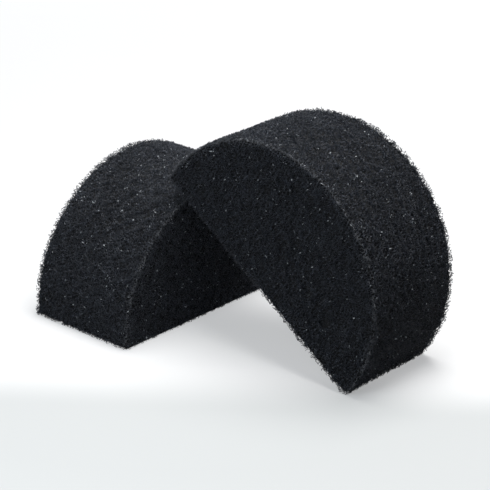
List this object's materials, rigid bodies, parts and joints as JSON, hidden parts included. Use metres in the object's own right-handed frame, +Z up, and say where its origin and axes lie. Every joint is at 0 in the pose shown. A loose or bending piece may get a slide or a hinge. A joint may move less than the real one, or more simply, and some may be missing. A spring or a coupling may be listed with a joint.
{
  "type": "sponge filter",
  "caption": "Half-round open-cell foam filter pads for a pond or aquarium filter: a pad stands on its flat face and its twin leans on it.",
  "frame": {"origin": "centre of the standing pad's flat face, where it rests on the ground", "axes": "+Z up; X along the standing pad's thickness, with the leaning pad on the +X side; Y along the standing pad's flat face"},
  "size_m": [0.2385, 0.18, 0.145],
  "materials": {
    "filter_foam": "matte"
  },
  "bodies": {
    "standing": {"standing_pad": "filter_foam"},
    "leaning": {"leaning_pad": "filter_foam"}
  },
  "joints": [
    {"name": "lift_off", "type": "slide", "parent": "standing", "child": "leaning", "axis": [0, 0, 1], "range_m": [0, 0.12]}
  ]
}
